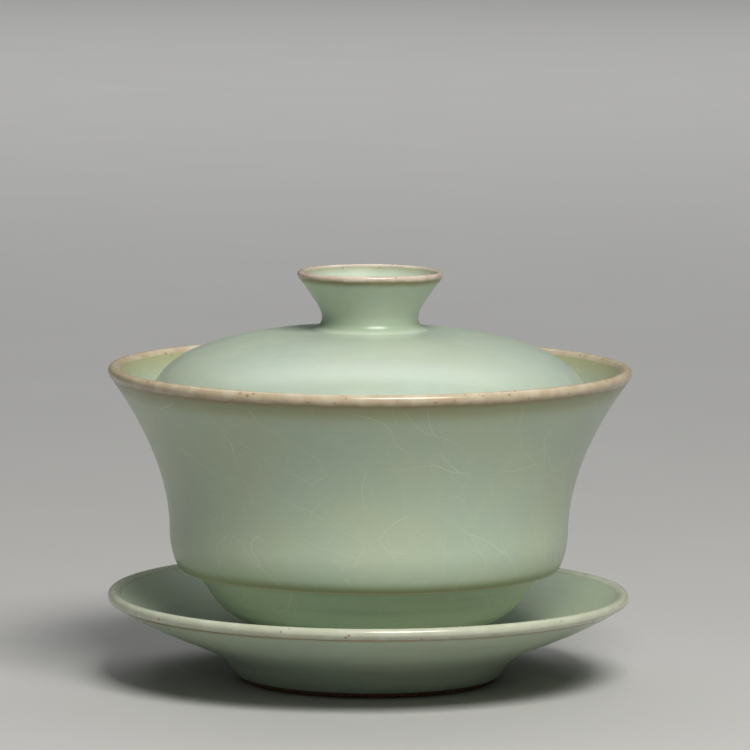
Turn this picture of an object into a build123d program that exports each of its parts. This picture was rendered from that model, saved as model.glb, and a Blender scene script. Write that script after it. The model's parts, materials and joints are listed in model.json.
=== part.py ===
from build123d import *
import math
import os

# A gaiwan: a flared tea bowl that stands in a saucer, with a domed lid that rests
# inside its mouth. Every piece is turned on a wheel, so each one is an outline of
# (radius, height) points revolved about the vertical axis.
# Lengths are in millimetres, angles in degrees, +Z is up. The origin is the centre
# of the saucer's foot ring, on the surface that it stands on.
# A slope is an angle above the horizontal, for a wall that is followed outward.
# A pull is how long a curve keeps its end direction, as a share of its chord.

# Saucer
saucer_radius = 49.9  # outermost point of its lip
saucer_height = 17.0  # top of its lip above the table
saucer_lip_thickness = 1.94
saucer_lip_slope = 32
saucer_foot_radius = 24.8
saucer_foot_width = 3.2
saucer_foot_height = 3.0
saucer_foot_taper = 1.9  # how far the foot widens towards its root
saucer_root_slope = 55  # of the underside where it leaves the foot
saucer_recess = 3.2  # hollow inside the foot ring
saucer_floor = 2.8  # thickness under the bowl
well_depth = 0.9  # step that keeps the bowl's foot in place
well_clearance = 1.2  # around the bowl's foot, to let it drop in
well_bevel = 0.6

# Bowl, with heights above its own foot
mouth_radius = 50.0  # outermost point of its lip
bowl_height = 54.2
bowl_wall = 2.4
bowl_lip_thickness = 2.0
bowl_lip_slope = 56
waist_radius = 38.05
waist_height = 22.5
shoulder_inset = 2.15  # how far the waist turns under to the step's edge
shoulder_slope = 25
step_height = 15.4
step_width = 2.7
basin_slope = 57  # of the lower bowl where it meets the step
basin_foot_slope = 19
inner_step_slope = 48  # of the inside where it passes the step
bowl_foot_radius = 19.8
bowl_foot_width = 2.8
bowl_foot_height = 4.3
bowl_foot_taper = 0.8
bowl_recess = 3.6
bowl_floor = 2.7

# Lid, with heights above its own rim
lid_seat_depth = 9.9  # lowest point of its rim below the top of the bowl's lip
lid_seat_gap = 0.2  # between its rim and the flare of the bowl
lid_rise = 17.0  # top of the dome
lid_wall = 2.3
lid_rim_thickness = 2.0
lid_crown_slope = 3  # of the dome beside the knob

# Knob, a ring with heights above the dome
knob_radius = 13.95  # outermost point of its lip
knob_height = 11.2
knob_lip_thickness = 1.34
knob_lip_slope = 56
knob_neck_radius = 9.2
knob_neck_height = 2.2
knob_base_radius = 10.5
knob_bead_height = 0.55  # ridge of slip that fixes the ring to the dome
knob_wall = 2.2

foot_bevel = 0.5


def heading(angle):
    return Vector(math.cos(math.radians(angle)), math.sin(math.radians(angle)))


def bend(start, start_angle, start_pull, end, end_angle, end_pull):
    """A smooth curve that leaves start and reaches end in the given directions."""
    start = Vector(start)
    end = Vector(end)
    chord = (end - start).length
    leaving = start + heading(start_angle) * chord * start_pull
    arriving = end - heading(end_angle) * chord * end_pull
    return Bezier(start, leaving, arriving, end)


def lip(radius, height, thickness, slope):
    """The round edge of a wall: its outer point, its inner point and the arc between."""
    centre = Vector(radius - thickness / 2, height - thickness / 2)
    outward = heading(slope - 90) * thickness / 2
    outer = centre + outward
    inner = centre - outward
    tip = centre + heading(slope) * thickness / 2
    return outer, inner, ThreePointArc(outer, tip, inner)


def foot_ring(radius, width, height, taper, recess):
    """The hollow under a pot, its foot ring and the outside up to the ring's root."""
    inner = radius - width
    return Polyline(
        (0, recess),
        (inner - foot_bevel, recess),
        (inner, foot_bevel),
        (inner + foot_bevel, 0),
        (radius - foot_bevel, 0),
        (radius, foot_bevel),
        (radius + taper, height),
    )


def turned(outline):
    """Revolve a closed outline about the vertical axis."""
    return revolve(Plane.XZ * make_face(outline), Axis.Z)


def inside_of_flare():
    """The bowl's inner wall from its waist to its lip."""
    _, inner, _ = lip(mouth_radius, bowl_height, bowl_lip_thickness, bowl_lip_slope)
    waist = (waist_radius - bowl_wall, waist_height)
    return bend(waist, 90, 0.45, inner, bowl_lip_slope, 0.1)


def make_saucer():
    under, top, edge = lip(saucer_radius, saucer_height, saucer_lip_thickness, saucer_lip_slope)
    root = (saucer_foot_radius + saucer_foot_taper, saucer_foot_height)
    seat = saucer_recess + saucer_floor
    well_radius = bowl_foot_radius + well_clearance
    well_edge = (well_radius + well_bevel, seat + well_depth)
    foot = foot_ring(
        saucer_foot_radius, saucer_foot_width, saucer_foot_height, saucer_foot_taper, saucer_recess
    )
    underside = bend(root, saucer_root_slope, 0.2, under, saucer_lip_slope, 0.5)
    dish = bend(top, saucer_lip_slope + 180, 0.45, well_edge, 185, 0.3)
    well = Polyline(well_edge, (well_radius, seat), (0, seat), (0, saucer_recess))
    return turned(foot + underside + edge + dish + well)


def make_bowl():
    outer, _, edge = lip(mouth_radius, bowl_height, bowl_lip_thickness, bowl_lip_slope)
    root = (bowl_foot_radius + bowl_foot_taper, bowl_foot_height)
    step_radius = waist_radius - shoulder_inset
    basin_top = Vector(step_radius - step_width, step_height)
    step_edge = (step_radius, step_height)
    waist = (waist_radius, waist_height)
    foot = foot_ring(
        bowl_foot_radius, bowl_foot_width, bowl_foot_height, bowl_foot_taper, bowl_recess
    )
    basin = bend(root, basin_foot_slope, 0.53, basin_top, basin_slope, 0.4)
    step = Line(basin_top, step_edge)
    shoulder = bend(step_edge, shoulder_slope, 0.15, waist, 90, 0.4)
    flare = bend(waist, 90, 0.45, outer, bowl_lip_slope, 0.1)

    inner_flare = inside_of_flare()
    inner_waist = inner_flare @ 0
    inner_step = basin_top + heading(basin_slope + 90) * bowl_wall
    centre = (0, bowl_recess + bowl_floor)
    inner_shoulder = bend(inner_waist, 270, 0.45, inner_step, inner_step_slope + 180, 0.3)
    inner_basin = bend(inner_step, inner_step_slope + 180, 0.35, centre, 180, 0.5)
    axis = Line(centre, (0, bowl_recess))
    outside = foot + basin + step + shoulder + flare
    inside = inner_flare + inner_shoulder + inner_basin + axis
    return turned(outside + edge + inside)


def lid_rim_radius():
    """The largest lid rim that rests on the flare at the seat's depth."""
    flare = inside_of_flare()
    rim_level = bowl_height - lid_seat_depth + lid_rim_thickness / 2
    contact = flare.find_intersection_points(Axis((0, rim_level, 0), (1, 0, 0)))[0]
    slope = flare.tangent_at(flare.param_at_point(contact))
    reach = (lid_rim_thickness / 2 + lid_seat_gap) / slope.Y
    return contact.X - reach + lid_rim_thickness / 2


def make_lid_dome():
    rim_outer = Vector(lid_rim_radius(), lid_rim_thickness / 2)
    rim_inner = rim_outer - Vector(lid_rim_thickness, 0)
    rim_bottom = (rim_outer.X - lid_rim_thickness / 2, 0)
    crown = (knob_base_radius, lid_rise)
    crown_angle = 180 - lid_crown_slope
    outside = bend(rim_outer, 90, 0.13, crown, crown_angle, 0.87)
    seat = Line(crown, (0, lid_rise))
    axis = Line((0, lid_rise), (0, lid_rise - lid_wall))
    inside = bend((0, lid_rise - lid_wall), 0, 0.8, rim_inner, 270, 0.13)
    rim = ThreePointArc(rim_inner, rim_bottom, rim_outer)
    return turned(outside + seat + axis + inside + rim)


def make_lid_knob():
    outer, inner, edge = lip(knob_radius, knob_height, knob_lip_thickness, knob_lip_slope)
    neck = (knob_neck_radius, knob_neck_height)
    base = (knob_base_radius, 0)
    bead_top = (knob_base_radius - knob_bead_height, knob_bead_height)
    bore = (knob_neck_radius - knob_wall, 0)
    inner_neck = (knob_neck_radius - knob_wall, knob_neck_height)
    bead = RadiusArc(base, bead_top, -knob_bead_height)
    fillet_curve = bend(bead_top, 150, 0.4, neck, 90, 0.5)
    outside = bend(neck, 90, 0.2, outer, knob_lip_slope, 0.28)
    inside = bend(inner, knob_lip_slope + 180, 0.28, inner_neck, 270, 0.2)
    base_lines = Polyline(inner_neck, bore, base)
    return turned(bead + fillet_curve + outside + edge + inside + base_lines)


def main():
    os.makedirs("parts", exist_ok=True)
    bowl_level = saucer_recess + saucer_floor
    lid_level = bowl_level + bowl_height - lid_seat_depth
    knob_level = lid_level + lid_rise
    pieces = {
        "saucer": make_saucer(),
        "bowl": Pos(0, 0, bowl_level) * make_bowl(),
        "lid_dome": Pos(0, 0, lid_level) * make_lid_dome(),
        "lid_knob": Pos(0, 0, knob_level) * make_lid_knob(),
    }
    for name, piece in pieces.items():
        export_step(piece, f"parts/{name}.step")


main()
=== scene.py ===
import json
import math

import bpy
import numpy as np
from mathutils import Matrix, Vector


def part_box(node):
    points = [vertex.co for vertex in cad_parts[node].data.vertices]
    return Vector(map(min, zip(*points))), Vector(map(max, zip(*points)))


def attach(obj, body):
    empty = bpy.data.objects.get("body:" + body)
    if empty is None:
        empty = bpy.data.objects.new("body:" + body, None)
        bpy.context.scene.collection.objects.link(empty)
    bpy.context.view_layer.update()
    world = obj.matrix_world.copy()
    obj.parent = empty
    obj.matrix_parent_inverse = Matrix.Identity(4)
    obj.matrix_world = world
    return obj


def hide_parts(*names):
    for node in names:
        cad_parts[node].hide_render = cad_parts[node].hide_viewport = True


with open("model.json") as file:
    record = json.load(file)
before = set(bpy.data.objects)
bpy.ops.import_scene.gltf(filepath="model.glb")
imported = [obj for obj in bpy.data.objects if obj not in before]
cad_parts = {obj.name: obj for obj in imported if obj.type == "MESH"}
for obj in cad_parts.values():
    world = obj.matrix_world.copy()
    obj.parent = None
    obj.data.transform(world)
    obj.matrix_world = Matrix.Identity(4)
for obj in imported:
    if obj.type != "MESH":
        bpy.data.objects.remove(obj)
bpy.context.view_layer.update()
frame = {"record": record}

# The looks of a celadon gaiwan: saucer, bowl, lid dome and knob. Each piece is turned
# again here from its outline, with the softened edges, glaze and slight wobble of
# pottery made by hand. Outlines are in millimetres, as (radius, height above the
# table); the CAD frame gives where each piece stands and how wide and tall it is.
# A slope is an angle above the horizontal, for a wall that is followed outward.

MM = 0.001
HAIR = 0.02  # mm, between surfaces that stand on each other
GLAZE = 0.07  # mm, how far glaze stands out from bare clay


def place_of(node):
    """Foot height, top height and largest radius of a CAD node, in millimetres."""
    low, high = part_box(node)
    return low.z / MM, high.z / MM, high.x / MM


saucer_foot, saucer_top, saucer_radius = place_of("saucer")
bowl_foot, bowl_top, mouth_radius = place_of("bowl")
lid_foot, lid_top, lid_radius = place_of("lid_dome")
knob_foot, knob_top, knob_radius = place_of("lid_knob")

saucer_lip_thickness = 1.94
bowl_lip_thickness = 2.0
lid_rim_thickness = 2.0
knob_lip_thickness = 1.34
bowl_foot_radius = 19.8
well_radius = 21.0  # of the shallow well that the bowl's foot stands in
step_radius = 35.9  # of the arris above the bowl's basin
step_level = bowl_foot + 15.4


# ---- outlines -------------------------------------------------------------------


def heading(angle):
    return np.array([math.cos(math.radians(angle)), math.sin(math.radians(angle))])


def bend(start, start_angle, start_pull, end, end_angle, end_pull):
    """Points on a smooth curve that leaves start and reaches end in given directions.
    A pull is how long it keeps its direction there, as a share of its chord."""
    start = np.array(start, float)
    end = np.array(end, float)
    chord = np.linalg.norm(end - start)
    leaving = start + heading(start_angle) * chord * start_pull
    arriving = end - heading(end_angle) * chord * end_pull
    t = np.linspace(0, 1, 120)[:, None]
    return (
        (1 - t) ** 3 * start
        + 3 * (1 - t) ** 2 * t * leaving
        + 3 * (1 - t) * t**2 * arriving
        + t**3 * end
    )


def lip(radius, height, thickness, slope):
    """The round edge of a wall: its outer point, its inner point and the arc between."""
    half = thickness / 2
    centre = np.array([radius - half, height - half])
    turn = np.linspace(slope - 90, slope + 90, 60)
    arc = np.array([centre + heading(angle) * half for angle in turn])
    return arc[0], arc[-1], arc


def foot_ring(level, radius, width, height, taper, recess, bevel=0.5):
    """The hollow under a pot, its foot ring and the outside up to the ring's root."""
    inner = radius - width
    return np.array([
        (0, level + recess),
        (inner - bevel, level + recess),
        (inner, level + bevel),
        (inner + bevel, level),
        (radius - bevel, level),
        (radius, level + bevel),
        (radius + taper, level + height),
    ])


def saucer_outline():
    slope = 32
    well_bevel = 0.6
    well_depth = 0.9
    well_floor = bowl_foot - HAIR - GLAZE
    under, top, edge = lip(saucer_radius, saucer_top, saucer_lip_thickness, slope)
    well_edge = (well_radius + well_bevel, bowl_foot + well_depth)
    foot = foot_ring(saucer_foot, radius=24.8, width=3.2, height=3.0, taper=1.9, recess=3.2)
    return np.concatenate([
        foot,
        bend(foot[-1], 55, 0.2, under, slope, 0.5),
        edge,
        bend(top, slope + 180, 0.45, well_edge, 185, 0.3),
        [(well_radius, well_floor), (0, well_floor)],
    ])


def bowl_outline():
    wall = 2.4
    slope = 56
    waist_radius = 38.05
    waist_level = bowl_foot + 22.5
    step_width = 2.7
    basin_slope = 57
    inner_slope = 48  # of the inside where it passes the step
    outer, inner, edge = lip(mouth_radius, bowl_top, bowl_lip_thickness, slope)
    foot = foot_ring(bowl_foot, bowl_foot_radius, width=2.8, height=4.3, taper=0.8, recess=3.6)
    waist = (waist_radius, waist_level)
    inner_waist = (waist_radius - wall, waist_level)
    step_edge = (step_radius, step_level)
    basin_top = (step_radius - step_width, step_level)
    inner_step = basin_top + heading(basin_slope + 90) * wall
    centre = (0, bowl_foot + 6.3)
    return np.concatenate([
        foot,
        bend(foot[-1], 19, 0.53, basin_top, basin_slope, 0.4),
        bend(step_edge, 25, 0.15, waist, 90, 0.4),
        bend(waist, 90, 0.45, outer, slope, 0.1),
        edge,
        bend(inner, slope + 180, 0.1, inner_waist, 270, 0.45),
        bend(inner_waist, 270, 0.45, inner_step, inner_slope + 180, 0.3),
        bend(inner_step, inner_slope + 180, 0.35, centre, 180, 0.5),
    ])


def dome_outline():
    """From the middle of the underside, round the rim and up to the middle of the top."""
    wall = 2.3
    crown_radius = 10.5
    rim_outer = np.array([lid_radius, lid_foot + lid_rim_thickness / 2])
    rim_inner = rim_outer - (lid_rim_thickness, 0)
    _, _, rim = lip(lid_radius, lid_foot + lid_rim_thickness, lid_rim_thickness, 90)
    rim[:, 1] = 2 * rim_outer[1] - rim[:, 1]
    return np.concatenate([
        bend((0, lid_top - wall), 0, 0.8, rim_inner, 270, 0.13),
        rim[::-1],
        bend(rim_outer, 90, 0.13, (crown_radius, lid_top), 177, 0.87),
        [(0, lid_top)],
    ])


def knob_outline():
    """A closed loop. Its collar and the floor of its cup run into the dome's surface, and
    its underside is sunk below it."""
    slope = 56
    wall = 2.2
    neck_radius = 9.2
    neck_level = knob_foot + 2.4
    collar_radius = 11.3
    bore_radius = 5.0
    joint = knob_foot - 0.1
    sunk = knob_foot - 0.4
    outer, inner, edge = lip(knob_radius, knob_top, knob_lip_thickness, slope)
    neck = (neck_radius, neck_level)
    inner_neck = (neck_radius - wall, neck_level)
    return np.concatenate([
        [(bore_radius, sunk), (collar_radius, sunk)],
        bend((collar_radius, joint), 155, 0.45, neck, 90, 0.55),
        bend(neck, 90, 0.2, outer, slope, 0.28),
        edge,
        bend(inner, slope + 180, 0.28, inner_neck, 270, 0.2),
        bend(inner_neck, 270, 0.45, (bore_radius, joint), 190, 0.45),
    ])


# ---- points along a wall --------------------------------------------------------

EDGE_SOFTNESS = 0.30  # mm, how far glaze rounds an edge
LONGEST_STEP = 1.2  # mm, between rings on a plain wall
SHARPEST_TURN = math.radians(6)  # between rings on a curve
FINE_STEP = 0.02  # mm, between the points at which an outline is smoothed
BEYOND = 40  # outline points that are mirrored beyond the axis
SHORTEST_EDGE = 1e-6  # mm, below which two points are one


def measured(points):
    """How far along an outline each of its points is."""
    steps = np.linalg.norm(np.diff(points, axis=0), axis=1)
    return np.concatenate([[0], np.cumsum(steps)])


def spread(points, where, run):
    """The outline's points at the given distances along it."""
    return np.stack([np.interp(where, run, points[:, k]) for k in (0, 1)], axis=1)


def blurred(values, width, loop=False):
    """Values along an outline, smoothed over a width in fine steps."""
    reach = int(4 * width) + 1
    weight = np.exp(-0.5 * (np.arange(-reach, reach + 1) / width) ** 2)
    padded = np.pad(values, reach, mode="wrap" if loop else "edge")
    return np.convolve(padded, weight / weight.sum(), mode="valid")


def softened(outline, ring):
    """The outline in fine steps, with its edges rounded, and its curvature in 1/mm.
    Curvature is positive where the edge stands out. A ring's outline is a closed
    loop, and any other runs from the axis back to the axis."""
    if ring:
        outline = np.concatenate([outline, outline[:1]])
    else:
        mirror = np.array([-1, 1])
        before = outline[1:BEYOND][::-1] * mirror
        after = outline[-BEYOND:-1][::-1] * mirror
        outline = np.concatenate([before, outline, after])
    edges = np.linalg.norm(np.diff(outline, axis=0), axis=1)
    outline = outline[np.concatenate([[True], edges > SHORTEST_EDGE])]
    run = measured(outline)
    fine = spread(outline, np.arange(0, run[-1], FINE_STEP), run)
    width = EDGE_SOFTNESS / FINE_STEP
    fine = np.stack([blurred(fine[:, k], width, ring) for k in (0, 1)], axis=1)
    slope = np.unwrap(np.arctan2(*np.gradient(fine, axis=0).T[::-1]))
    curve = blurred(np.gradient(slope) / FINE_STEP, width, ring)
    if not ring:
        inside = fine[:, 0] >= 0
        fine, curve = fine[inside], curve[inside]
        fine[0, 0] = fine[-1, 0] = 0
    return fine, curve


def rings_along(curve, ring):
    """Picks outline points close together on curves and further apart on plain walls."""
    need = FINE_STEP * (1 / LONGEST_STEP + np.abs(curve) / SHARPEST_TURN)
    total = np.cumsum(need)
    count = int(total[-1]) + 2
    wanted = np.linspace(total[0], total[-1], count)
    index = np.round(np.interp(wanted, total, np.arange(len(curve)))).astype(int)
    return np.unique(index[:-1] if ring else index)


# ---- marks of hand and glaze ------------------------------------------------------

SWELL = 0.022  # mm, how uneven a wall is
NOWHERE = 99.0  # mm, the distance from an edge that a piece doesn't have


def smooth(value, low, high):
    t = np.clip((value - low) / (high - low), 0, 1)
    return t * t * (3 - 2 * t)


def waves(angle, run, seed):
    """A gentle unevenness about -1 to 1, from random waves round and along a wall: up to
    6 to a turn, and 25 to 80 mm long."""
    count = 16
    rng = np.random.default_rng(seed)
    total = np.zeros(np.broadcast(angle, run).shape)
    for _ in range(count):
        turns = rng.integers(1, 7)
        length = rng.uniform(25, 80)
        phase = rng.uniform(0, math.tau)
        total += np.sin(turns * angle + math.tau * run / length + phase)
    return total / math.sqrt(count)


def from_circle(points, circle):
    """How far outline points are outside the section of a torus: (radius, height, half)."""
    if circle is None:
        return np.full(len(points), NOWHERE)
    radius, height, half = circle
    return np.linalg.norm(points - (radius, height), axis=1) - half


def throwing_rings(points, run, seed, low, high):
    """The faint ridges that a potter's fingers leave between two heights, clear of the
    foot and of the well that it stands in."""
    count = 4
    none_within = well_radius + 0.8
    all_beyond = well_radius + 2.5
    rng = np.random.default_rng(seed)
    wave = 0
    for _ in range(count):
        length = rng.uniform(1.8, 4.5)
        wave = wave + np.sin(math.tau * run / length + rng.uniform(0, 6))
    clear = smooth(points[:, 0], none_within, all_beyond)
    level = points[:, 1]
    between = smooth(level, low, low + 1) * (1 - smooth(level, high - 1, high))
    return (wave * between * clear)[:, None]


def glaze_coat(level, angles, seed, glaze_line):
    """How far glaze stands out at a level above the foot, and how bare the clay is there.
    The glaze stops in a roll at its wandering edge, about glaze_line mm up."""
    wander, blend = 0.16, 0.12
    roll_above_edge, roll_width, roll_depth = 0.25, 0.22, 0.06
    edge = glaze_line + wander * waves(angles, 0 * angles, seed + 50)
    bare = 1 - smooth(level, edge - blend, edge + blend)
    roll = np.exp(-(((level - edge - roll_above_edge) / roll_width) ** 2))
    return GLAZE * (1 - bare) * smooth(level, 0, 0.6) + roll_depth * roll, bare


def wandering(radius, height, angles, sway, seed):
    """Rings that wander from true circles and from the level, by about sway mm."""
    rng = np.random.default_rng(seed + 100)
    p, q, s, t = rng.uniform(0, math.tau, 4)
    radius = radius + sway * (np.cos(2 * angles + p) + 0.5 * np.cos(3 * angles + q))
    height = height + sway * (np.cos(2 * angles + s) + 0.4 * np.cos(3 * angles + t))
    return radius, height


# ---- turned meshes ----------------------------------------------------------------

SEGMENTS = 240  # around the axis


class Wall:
    """A softened outline, as the points where the mesh has its rings."""

    def __init__(self, outline, ring):
        fine, curve = softened(outline, ring)
        pick = rings_along(curve, ring)
        direction = np.gradient(fine, axis=0)
        direction /= np.linalg.norm(direction, axis=1)[:, None]
        blur = 0.5 / FINE_STEP
        self.points = fine[pick]
        self.outward = np.stack([direction[pick, 1], -direction[pick, 0]], axis=1)
        self.run = pick * FINE_STEP
        self.on_axis = self.points[:, 0] == 0
        self.thin = blurred(np.clip(curve, 0, 2), blur, ring)[pick]
        self.pooled = blurred(np.clip(-curve, 0, 2), blur, ring)[pick]

    def surface(self, angle, seed, still, sway, glaze_line, ridges):
        """The radius and height of each vertex, ring by ring, and how bare its clay is."""
        level = self.points[:, 1]
        away = level - still if level.max() > still + 1 else still - level
        grow = smooth(away, 0, away.max())[:, None]
        near_axis = smooth(self.points[:, 0], 0, 12)[:, None]
        angles, runs = np.meshgrid(angle, self.run)
        swell = SWELL * waves(angles, runs, seed) * near_axis * smooth(grow, 0, 0.2)
        swell = swell + ridges[0] * throwing_rings(self.points, self.run, seed, *ridges[1:])
        bare = np.zeros_like(angles)
        if glaze_line is not None:
            above_foot = (level - level.min())[:, None]
            coat, bare = glaze_coat(above_foot, angles, seed, glaze_line)
            swell = swell + coat
        radius = self.points[:, 0:1] + self.outward[:, 0:1] * swell
        height = self.points[:, 1:2] + self.outward[:, 1:2] * swell
        radius, height = wandering(radius, height, angles, sway * grow, seed)
        radius[self.on_axis] = 0
        height[self.on_axis] = self.points[self.on_axis, 1:2]
        return radius, height, bare

    def marks(self, hangs, lip_at, edge_at, rub_at):
        """What the material reads, one value per ring. before_lip is the side of the lip
        that the outline comes to first: a pot's outside, or the dome's underside."""
        level = self.points[:, 1]
        tip = self.run[level.argmin() if hangs else level.argmax()]
        return {
            "thin": self.thin,
            "pooled": self.pooled,
            "before_lip": smooth(tip - self.run, -0.3, 0.3),
            "along": self.run,
            "from_lip": from_circle(self.points, lip_at),
            "from_edge": from_circle(self.points, edge_at),
            "from_rub": from_circle(self.points, rub_at),
        }


def turned(name, outline, node, seed, still, sway, lip_at, edge_at=None, rub_at=None,
           glaze_line=None, ridges=(0, 0, 0), ring=False, hangs=False):
    """Revolves an outline into the mesh that stands for a CAD node. still is the level
    that stays true, and sway how far in mm the lip wanders from a true circle. lip_at
    and edge_at are (radius, height, half thickness) of edges where the glaze runs thin,
    and rub_at is where another piece rubs it. The glaze stops glaze_line mm above the
    foot. ridges is the height in mm of the throwing rings, and the levels they lie
    between. ring is for a closed loop, and hangs for a piece whose lip is at its foot."""
    wall = Wall(outline, ring)
    angle = math.pi / 2 + np.linspace(0, math.tau, SEGMENTS, endpoint=False)
    radius, height, bare = wall.surface(angle, seed, still, sway, glaze_line, ridges)
    marks = wall.marks(hangs, lip_at, edge_at, rub_at)
    marks = {key: np.tile(value[:, None], SEGMENTS) for key, value in marks.items()}
    marks["bare"] = bare
    return mesh_of(name, node, radius, height, angle, wall.run, ring, marks)


def points_of(radius, height, angle, marks):
    """Vertices ring by ring, the row of indices of each ring, and the marks of each
    vertex. A ring on the axis is one vertex."""
    vertices, rows = [], []
    kept = {key: [] for key in marks}
    for k in range(len(radius)):
        count = 1 if radius[k, 0] == 0 else SEGMENTS
        first = len(vertices)
        rows.append([first + j % count for j in range(SEGMENTS + 1)])
        for j in range(count):
            x = radius[k, j] * math.cos(angle[j])
            y = radius[k, j] * math.sin(angle[j])
            vertices.append((x * MM, y * MM, height[k, j] * MM))
        for key in marks:
            kept[key] += list(marks[key][k, :count])
    return vertices, rows, kept


def faces_between(rows, share):
    """Faces between rows of vertices, with the UV place of each of their corners: once
    round the axis, and by each row's share of the way along the outline."""
    faces, places = [], []
    for k in range(len(rows) - 1):
        for j in range(SEGMENTS):
            corners = [(k, j), (k, j + 1), (k + 1, j + 1), (k + 1, j)]
            if rows[k][0] == rows[k][1]:
                corners.pop(1)
            elif rows[k + 1][0] == rows[k + 1][1]:
                corners.pop(3)
            faces.append([rows[a][b] for a, b in corners])
            places += [(b / SEGMENTS, share[a]) for a, b in corners]
    return faces, places


def mesh_of(name, node, radius, height, angle, run, ring, marks):
    """Builds the mesh from rings of points, ties it to the CAD node's body and hides the node.
    marks are the values per point that its material reads."""
    vertices, rows, kept = points_of(radius, height, angle, marks)
    if ring:
        rows.append(rows[0])
        run = np.append(run, 2 * run[-1] - run[-2])
    faces, places = faces_between(rows, run / run[-1])
    mesh = bpy.data.meshes.new(name)
    mesh.from_pydata(vertices, [], faces)
    uv = mesh.uv_layers.new(name="OFBake")  # a UV map, once round the axis and along the outline
    uv.data.foreach_set("uv", np.array(places, np.float32).ravel())
    for key, values in kept.items():
        mark = mesh.attributes.new(key, "FLOAT", "POINT")
        mark.data.foreach_set("value", np.array(values, np.float32))
    mesh.shade_smooth()
    piece = bpy.data.objects.new(name, mesh)
    bpy.context.scene.collection.objects.link(piece)
    body = next(b for b, nodes in frame["record"]["behaviour"]["bodies"].items() if node in nodes)
    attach(piece, body)
    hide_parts(node)
    return piece


# Edges and places of contact, as (radius, height, half thickness).
saucer_lip = (saucer_radius - 0.97, saucer_top - 0.90, 0.97)
bowl_lip = (mouth_radius - 1.05, bowl_top - 0.90, 1.0)
bowl_arris = (step_radius, step_level, 0.0)
dome_rim = (lid_radius - 1.0, lid_foot + 1.0, 1.0)
knob_lip = (knob_radius - 0.60, knob_top - 0.48, 0.55)
foot_on_saucer = (bowl_foot_radius - 0.8, bowl_foot, 0)
lid_on_bowl = (lid_radius, lid_foot + 1, 0)

saucer = turned("saucer_glazed", saucer_outline(), "saucer", 3, still=bowl_foot, sway=0.10,
                lip_at=saucer_lip, rub_at=foot_on_saucer, glaze_line=1.0,
                ridges=(0.016, 3.5, 15.0))
bowl = turned("bowl_glazed", bowl_outline(), "bowl", 5, still=bowl_foot, sway=0.06,
              lip_at=bowl_lip, edge_at=bowl_arris, rub_at=lid_on_bowl, glaze_line=0.9,
              ridges=(0.022, bowl_foot + 1.5, bowl_foot + 15.0))
dome = turned("lid_dome_glazed", dome_outline(), "lid_dome", 8, still=lid_top, sway=0.02,
              lip_at=dome_rim, rub_at=lid_on_bowl, hangs=True)
knob = turned("lid_knob_glazed", knob_outline(), "lid_knob", 11, still=knob_foot, sway=0.05,
              lip_at=knob_lip, ring=True)


# ---- shader nodes -----------------------------------------------------------------


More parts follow.
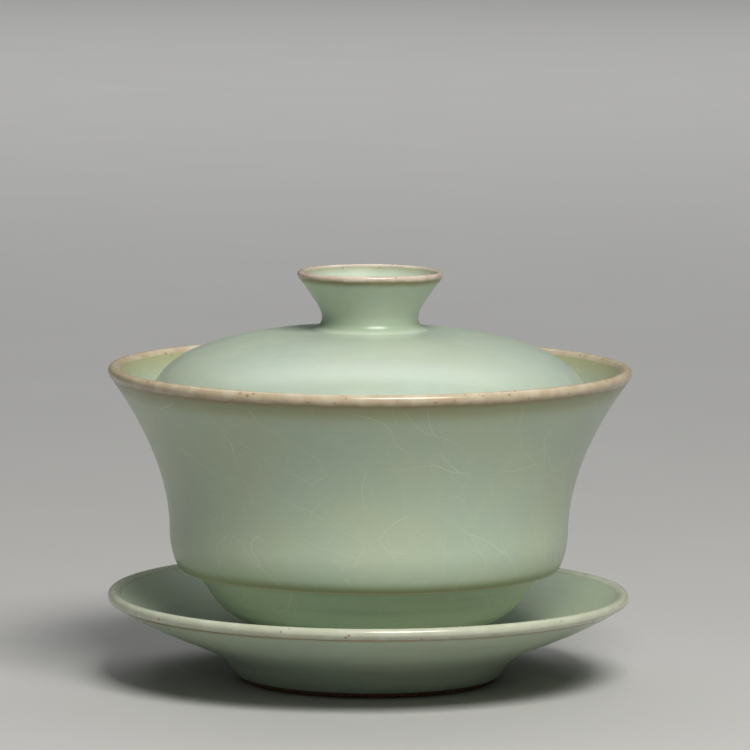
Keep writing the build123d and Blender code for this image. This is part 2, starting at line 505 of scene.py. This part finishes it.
class Shader:
    """A material's nodes, added one call at a time. Every place in it is in mm."""

    def __init__(self, name):
        self.material = bpy.data.materials.new(name)
        self.material.use_nodes = True
        self.tree = self.material.node_tree
        self.tree.nodes.clear()
        place = self.add("ShaderNodeTexCoord").outputs["Object"]
        self.place = self.vector("MULTIPLY", place, (1 / MM,) * 3)
        split = self.add("ShaderNodeSeparateXYZ", Vector=self.place)
        self.side, self.height = split.outputs["X"], split.outputs["Z"]
        self.front = self.math("MULTIPLY", split.outputs["Y"], -1.0)
        flat = self.vector("MULTIPLY", self.place, (1, 1, 0))
        self.radius = self.add("ShaderNodeVectorMath", "LENGTH", Vector=flat).outputs["Value"]

    def add(self, kind, operation=None, settings=(), **inputs):
        node = self.tree.nodes.new(kind)
        if operation:
            node.operation = operation
        for key, value in dict(settings).items():
            setattr(node, key, value)
        for key, value in inputs.items():
            self.feed(node.inputs[key.replace("_", " ")], value)
        return node

    def feed(self, socket, value):
        if isinstance(value, bpy.types.NodeSocket):
            self.tree.links.new(value, socket)
        else:
            socket.default_value = value

    def vector(self, operation, a, b):
        node = self.add("ShaderNodeVectorMath", operation)
        self.feed(node.inputs[0], a)
        self.feed(node.inputs[1], b)
        return node.outputs["Vector"]

    def math(self, operation, a, b=0.0, clamp=False):
        node = self.add("ShaderNodeMath", operation, {"use_clamp": clamp})
        self.feed(node.inputs[0], a)
        self.feed(node.inputs[1], b)
        return node.outputs["Value"]

    def times(self, first, *others):
        for other in others:
            first = self.math("MULTIPLY", first, other)
        return first

    def plus(self, first, *others):
        for other in others:
            first = self.math("ADD", first, other)
        return first

    def rise(self, value, low, high):
        """0 below low and 1 above high, smooth between; falls if high is under low."""
        settings = {"interpolation_type": "SMOOTHSTEP"}
        node = self.add("ShaderNodeMapRange", settings=settings, Value=value)
        first, last = (low, high) if low < high else (high, low)
        node.inputs["From Min"].default_value = first
        node.inputs["From Max"].default_value = last
        node.inputs["To Min"].default_value = 0 if low < high else 1
        node.inputs["To Max"].default_value = 1 if low < high else 0
        return node.outputs["Result"]

    def mix(self, share, a, b):
        node = self.add("ShaderNodeMix", settings={"data_type": "RGBA"})
        self.feed(node.inputs["Factor"], share)
        self.feed(node.inputs["A"], a if isinstance(a, bpy.types.NodeSocket) else (*a, 1))
        self.feed(node.inputs["B"], b if isinstance(b, bpy.types.NodeSocket) else (*b, 1))
        return node.outputs["Result"]

    def noise(self, size, detail, place=None):
        """Noise about 0.5, with features of that size in mm."""
        place = self.place if place is None else place
        node = self.add("ShaderNodeTexNoise", Vector=place, Scale=1 / size, Detail=detail)
        return node.outputs["Fac"]

    def mark(self, name):
        settings = {"attribute_name": name, "attribute_type": "GEOMETRY"}
        return self.add("ShaderNodeAttribute", settings=settings).outputs["Fac"]

    def specks(self, size, radius, share):
        """Round specks up to that radius in mm, in that share of cells of that size."""
        settings = {"feature": "F1"}
        cell = self.add("ShaderNodeTexVoronoi", settings=settings, Vector=self.place)
        cell.inputs["Scale"].default_value = 1 / size
        chosen = self.add("ShaderNodeSeparateColor", Color=cell.outputs["Color"])
        reach = self.times(chosen.outputs["Green"], radius / size)
        dot = self.math("SUBTRACT", reach, cell.outputs["Distance"])
        dot = self.rise(dot, 0, 0.3 * radius / size)
        picked = self.math("LESS_THAN", chosen.outputs["Red"], share)
        return self.times(dot, picked)


# ---- glaze ------------------------------------------------------------------------

UNROLLED_RADIUS = 38.0  # mm, of the wall that the crackle is laid out on
RUST = (0.33, 0.17, 0.060)
FLECK = (0.16, 0.085, 0.030)
BUBBLE = (0.85, 0.86, 0.80)
RUBBED = (0.27, 0.24, 0.15)
CLAY_DARK = (0.15, 0.058, 0.030)
CLAY_LIGHT = (0.27, 0.12, 0.062)
SCORCHED = (0.09, 0.034, 0.016)


def scaled(colour, *factors):
    return tuple(min(1, c * f) for c, f in zip(colour, factors))


class Glaze(Shader):
    """Satin celadon. tones are linear colours: body, deep where the glaze is thick, stain
    where iron shows through beside an edge, olive_and_shade for the thin glaze's own
    greenish brown beside the arris, made darker there as painted shade, and for painted
    shade on the outside just under the lip, lip and lip_pale for the edge itself, and
    lip_edge just below it. lip_brown is how much of the lip's own colour shows,
    stain_reach how many mm the stain goes (the painted shade under the lip goes three
    quarters as far), crackled how clear the cracks are, and sheen the roughness of the
    plain glaze."""

    def __init__(self, name, tones, lip_brown, stain_reach, crackled, sheen):
        super().__init__(name)
        self.tones = tones
        self.bare = self.mark("bare")
        self.before_lip = self.mark("before_lip")
        self.mottle = self.noise(2.4, 4)
        self.grain = self.noise(0.5, 2)
        wander = self.times(self.math("SUBTRACT", self.noise(3.0, 3), 0.5), 0.38)
        self.lip = self.plus(self.mark("from_lip"), wander)
        self.edge = self.plus(self.mark("from_edge"), wander)
        rubbed = self.rise(self.plus(self.mark("from_rub"), wander), 1.3, 0.2)
        self.rubbed = self.times(rubbed, self.rise(self.noise(2.8, 3), 0.40, 0.62))
        self.cracks = self.crackle() if crackled else None

        self.colour = self.body_colour()
        self.stain_edges(stain_reach)
        self.colour_lip(lip_brown)
        self.scatter_specks()
        self.tint(self.times(self.rubbed, 0.35), RUBBED)
        if crackled:
            self.tint(self.times(self.cracks, crackled), scaled(tones["body"], 1.5, 1.38, 1.4))
        self.bare_clay()
        self.finish(self.roughness(sheen), self.relief())

    def tint(self, share, colour):
        """Lays a colour over the others, in that share."""
        self.colour = self.mix(share, self.colour, colour)

    def body_colour(self):
        """Cloudy glaze, greener in the potter's rings and where it has pooled."""
        body, deep = self.tones["body"], self.tones["deep"]
        warm = scaled(body, 1.025, 1.01, 0.965)
        cool = scaled(body, 0.965, 0.985, 1.005)
        dusty = scaled(body, 1.10, 1.08, 1.08)
        flattened = self.vector("MULTIPLY", self.place, (0.05, 0.05, 1))
        banded = self.rise(self.noise(1.6, 2, flattened), 0.45, 0.7)
        banded = self.times(banded, self.rise(self.height, step_level - 0.4, step_level - 1.9))
        colour = self.mix(self.rise(self.noise(20, 3), 0.35, 0.65), cool, warm)
        colour = self.mix(self.times(self.rise(self.mottle, 0.48, 0.72), 0.35), colour, dusty)
        colour = self.mix(self.times(banded, 0.25), colour, deep)
        pooled = self.rise(self.mark("pooled"), 0.03, 0.5)
        return self.mix(self.times(pooled, 0.75), colour, deep)

    def stain_edges(self, reach):
        """Iron that shows through beside the lip and the arris, painted shade on the outside
        just under the lip, and beside the arris a greenish-brown band of the glaze's own
        colour made darker as painted shade, and a pale line that is partly a painted
        highlight.
        """
        self.tint(self.times(self.rise(self.lip, reach, 0.1), 0.85), self.tones["stain"])
        # Painted shade: on the side that comes before the lip (a pot's outside) the band just
        # under the lip is darkened, for the shade under the wall's overhang.
        shaded = self.times(self.rise(self.lip, 0.75 * reach, 0.1), self.before_lip)
        self.tint(self.times(shaded, 0.7), self.tones["olive_and_shade"])
        # Beside the arris the glaze's own greenish-brown band is made darker as painted shade,
        # where the walls round the arris face down.
        self.tint(self.times(self.rise(self.edge, 3.0, 0.9), 0.85), self.tones["olive_and_shade"])
        # The pale line on the arris is partly the thin glaze's own colour and partly a painted
        # highlight.
        self.tint(self.times(self.rise(self.edge, 0.70, 0.30), 0.9), self.tones["lip"])

    def colour_lip(self, lip_brown):
        """The lip's beige, paler in places, over a darker line just below it."""
        below = self.times(self.rise(self.lip, 1.05, 0.18), self.before_lip)
        self.tint(self.times(below, 0.85), self.tones["lip_edge"])
        pale = self.rise(self.noise(3.5, 3), 0.4, 0.65)
        beige = self.mix(pale, self.tones["lip"], self.tones["lip_pale"])
        self.tint(self.times(self.rise(self.lip, 0.34, -0.02), lip_brown), beige)

    def scatter_specks(self):
        """Rust along the lip in patches, and brown flecks and pale bubbles all over."""
        rust = self.specks(size=1.15, radius=0.38, share=0.65)
        rust = self.times(rust, self.rise(self.lip, 0.9, 0.3))
        rust = self.times(rust, self.rise(self.noise(6, 2), 0.34, 0.52))
        flecks = self.specks(size=8.0, radius=0.34, share=0.10)
        bubbles = self.specks(size=3.4, radius=0.14, share=0.22)
        self.tint(self.times(rust, 0.8), RUST)
        self.tint(self.times(flecks, 0.75), FLECK)
        self.tint(self.times(bubbles, 0.55), BUBBLE)

    def crackle(self):
        """Long cracks and fainter short ones, clear of the lip and the arris."""
        long = self.crack_lines(size=9.0, width=0.085, kept=0.25, lean=0.70, seed=3.0)
        short = self.crack_lines(size=5.0, width=0.070, kept=0.17, lean=0.35, seed=41.0)
        cracks = self.math("MAXIMUM", long, self.times(short, 0.6))
        cracks = self.times(cracks, self.rise(self.edge, 0.8, 2.5))
        return self.times(cracks, self.rise(self.lip, 0.3, 2.5))

    def crack_lines(self, size, width, kept, lean, seed):
        """Fine cracks in the glaze round cells of that size in mm. They are laid out on
        the wall as if it were unrolled. lean is how far they drift round it as they go
        along it, and kept how much of them shows. They fade at the seam at the back and
        towards the axis."""
        angle = self.math("ARCTAN2", self.side, self.front)
        along = self.mark("along")
        across = self.plus(self.times(angle, UNROLLED_RADIUS), self.times(along, lean))
        flat = self.add("ShaderNodeCombineXYZ", X=across, Y=self.times(along, 0.62))
        scale = 1 / (1.7 * size)
        drift = self.add("ShaderNodeTexNoise", Vector=self.place, Scale=scale, Detail=1)
        shift = self.vector("SUBTRACT", drift.outputs["Color"], (0.5, 0.5, 0.5))
        shift = self.vector("MULTIPLY", shift, (1.1 * size,) * 3)
        bent = self.vector("ADD", flat.outputs["Vector"], shift)
        bent = self.vector("ADD", bent, (seed, 0, 0))
        settings = {"feature": "DISTANCE_TO_EDGE", "voronoi_dimensions": "2D"}
        cell = self.add("ShaderNodeTexVoronoi", settings=settings, Vector=bent, Scale=1 / size)
        line = self.rise(cell.outputs["Distance"], width / size, 0.3 * width / size)
        patch = self.noise(1.2 * size, 1, self.vector("ADD", bent, (0, 0, seed)))
        line = self.times(line, self.rise(patch, 0.60 - kept, 0.74 - kept))
        seam = self.rise(self.math("ABSOLUTE", angle), 3.10, 2.95)
        return self.times(line, seam, self.rise(self.radius, 10, 20))

    def bare_clay(self):
        """Red-brown clay below the glaze line, darkest along it."""
        clay = self.mix(self.rise(self.grain, 0.3, 0.7), CLAY_DARK, CLAY_LIGHT)
        line = self.times(self.rise(self.bare, 0.02, 0.4), self.rise(self.bare, 0.98, 0.5))
        self.tint(self.bare, clay)
        self.tint(line, SCORCHED)

    def roughness(self, sheen):
        """Glossier on the lip, and duller on sharp edges, where it is rubbed and on clay."""
        rough = self.plus(self.times(self.math("SUBTRACT", self.mottle, 0.5), 0.20), sheen)
        rough = self.plus(rough, self.times(self.rise(self.lip, 0.8, 0.2), -0.14))
        rough = self.plus(rough, self.times(self.rise(self.mark("thin"), 0.4, 0.9), 0.03))
        rough = self.plus(rough, self.times(self.rubbed, 0.14))
        return self.math("ADD", rough, self.times(self.bare, 0.45), clamp=True)

    def relief(self):
        """Height in mm of the glaze's soft ripple, its pinholes, sandy clay and cracks."""
        ripple = self.times(self.noise(3.2, 2), 0.022)
        ripple = self.times(ripple, self.rise(self.mark("from_lip"), -0.2, 2.5))
        pits = self.times(self.specks(size=1.8, radius=0.11, share=0.3), -0.03)
        sand = self.times(self.grain, self.bare, 0.12)
        relief = self.plus(ripple, pits, sand)
        if self.cracks is not None:
            relief = self.plus(relief, self.times(self.cracks, -0.008))
        return relief

    def finish(self, rough, relief):
        """A satin skin under a thin coat, with a little light scattered below it."""
        bump = self.add("ShaderNodeBump", Height=relief, Distance=MM, Strength=0.8)
        skin = self.add("ShaderNodeBsdfPrincipled", Base_Color=self.colour, Roughness=rough)
        self.feed(skin.inputs["Normal"], bump.outputs["Normal"])
        skin.inputs["IOR"].default_value = 1.5
        skin.inputs["Subsurface Weight"].default_value = 0.12
        skin.inputs["Subsurface Radius"].default_value = (1.0, 1.2, 0.8)
        skin.inputs["Subsurface Scale"].default_value = 1.2 * MM
        skin.inputs["Coat Weight"].default_value = 0.15
        skin.inputs["Coat Roughness"].default_value = 0.22
        self.add("ShaderNodeOutputMaterial", Surface=skin.outputs["BSDF"])


CELADON = {
    "body": (0.430, 0.508, 0.385),
    "deep": (0.300, 0.390, 0.265),
    "olive_and_shade": (0.245, 0.270, 0.140),
    "stain": (0.370, 0.370, 0.195),
    "lip": (0.500, 0.405, 0.275),
    "lip_pale": (0.570, 0.490, 0.360),
    "lip_edge": (0.250, 0.200, 0.100),
}
# The lid's body tone is a little lighter and cooler than the bowl's: partly the lid's own glaze
# and partly painted light on the top of the pot.
LID = CELADON | {
    "body": (0.440, 0.515, 0.420),
    "stain": (0.330, 0.340, 0.215),
    "lip": (0.560, 0.440, 0.360),
    "lip_pale": (0.660, 0.570, 0.480),
}
# The knob's body tone is the lid's made lighter still, painted light on the topmost part.
KNOB = LID | {"body": (0.475, 0.555, 0.450)}
SAUCER = CELADON | {
    "stain": (0.440, 0.500, 0.360),
    "olive_and_shade": (0.380, 0.430, 0.280),
    "lip": (0.540, 0.570, 0.440),
    "lip_pale": (0.590, 0.620, 0.500),
}

bowl_celadon = Glaze("bowl_celadon", CELADON, lip_brown=0.95, stain_reach=5.5,
                     crackled=0.42, sheen=0.35)
saucer_celadon = Glaze("saucer_celadon", SAUCER, lip_brown=0.85, stain_reach=2.0,
                       crackled=0.14, sheen=0.33)
lid_celadon = Glaze("lid_celadon", LID, lip_brown=0.9, stain_reach=2.5,
                    crackled=0.07, sheen=0.34)
knob_celadon = Glaze("knob_celadon", KNOB, lip_brown=0.9, stain_reach=1.8,
                     crackled=0.0, sheen=0.34)

bowl.data.materials.append(bowl_celadon.material)
saucer.data.materials.append(saucer_celadon.material)
dome.data.materials.append(lid_celadon.material)
knob.data.materials.append(knob_celadon.material)


# ---- studio, in metres --------------------------------------------------------------


def softbox(name, place, aim, width, depth, watts, colour=(1, 1, 1), spread=180):
    light = bpy.data.lights.new(name, "AREA")
    light.spread = math.radians(spread)
    light.shape = "RECTANGLE"
    light.size, light.size_y = width, depth
    light.energy = watts
    light.color = colour
    lamp = bpy.data.objects.new(name, light)
    lamp.location = place
    toward = Vector(aim) - Vector(place)
    lamp.rotation_euler = toward.to_track_quat("-Z", "Y").to_euler()
    bpy.context.scene.collection.objects.link(lamp)


def plain_floor():
    near, far, side = -4, 14, 9
    corners = [(-side, near, 0), (side, near, 0), (side, far, 0), (-side, far, 0)]
    mesh = bpy.data.meshes.new("floor")
    mesh.from_pydata(corners, [], [(0, 1, 2, 3)])
    floor = bpy.data.objects.new("floor", mesh)
    bpy.context.scene.collection.objects.link(floor)
    s = Shader("pale_floor")
    tint = s.mix(s.noise(60, 4), (0.45, 0.445, 0.435), (0.48, 0.475, 0.465))
    skin = s.add("ShaderNodeBsdfPrincipled", Base_Color=tint, Roughness=0.75)
    s.add("ShaderNodeOutputMaterial", Surface=skin.outputs["BSDF"])
    mesh.materials.append(s.material)


def camera_at_photo_angle():
    """A long lens from just above the mouth, with the slight roll of the photo."""
    aside, distance, height = 0.001, 1.1, 0.1806
    look_down = math.radians(6.338)
    tilt = math.radians(90) - look_down
    roll = math.radians(0.4)
    data = bpy.data.cameras.new("camera")
    data.lens, data.sensor_width = 278.3, 36.0
    data.clip_start, data.clip_end = 0.05, 40
    camera = bpy.data.objects.new("camera", data)
    camera.location = (aside, -distance, height)
    turn = Matrix.Rotation(tilt, 3, "X") @ Matrix.Rotation(roll, 3, "Z")
    camera.rotation_euler = turn.to_euler()
    bpy.context.scene.collection.objects.link(camera)
    bpy.context.scene.camera = camera


def studio():
    middle = (0, 0, 0.035)
    softbox("key", (0.20, -0.55, 0.75), middle, width=0.45, depth=0.35, watts=9.6,
            colour=(1.0, 0.99, 0.96))
    softbox("fill", (-0.9, -0.5, 0.5), middle, width=0.8, depth=0.8, watts=0.3,
            colour=(0.95, 0.98, 1.0))
    softbox("backdrop", (0, 2.0, 2.4), (0, 2.0, 0), width=3.6, depth=2.4, watts=32, spread=100)
    world = bpy.data.worlds.new("studio")
    bpy.context.scene.world = world
    world.use_nodes = True
    background = world.node_tree.nodes["Background"]
    background.inputs["Color"].default_value = (0.9, 0.95, 1.0, 1)
    background.inputs["Strength"].default_value = 0.06
    bpy.context.scene.view_settings.view_transform = "Standard"


plain_floor()
camera_at_photo_angle()
studio()
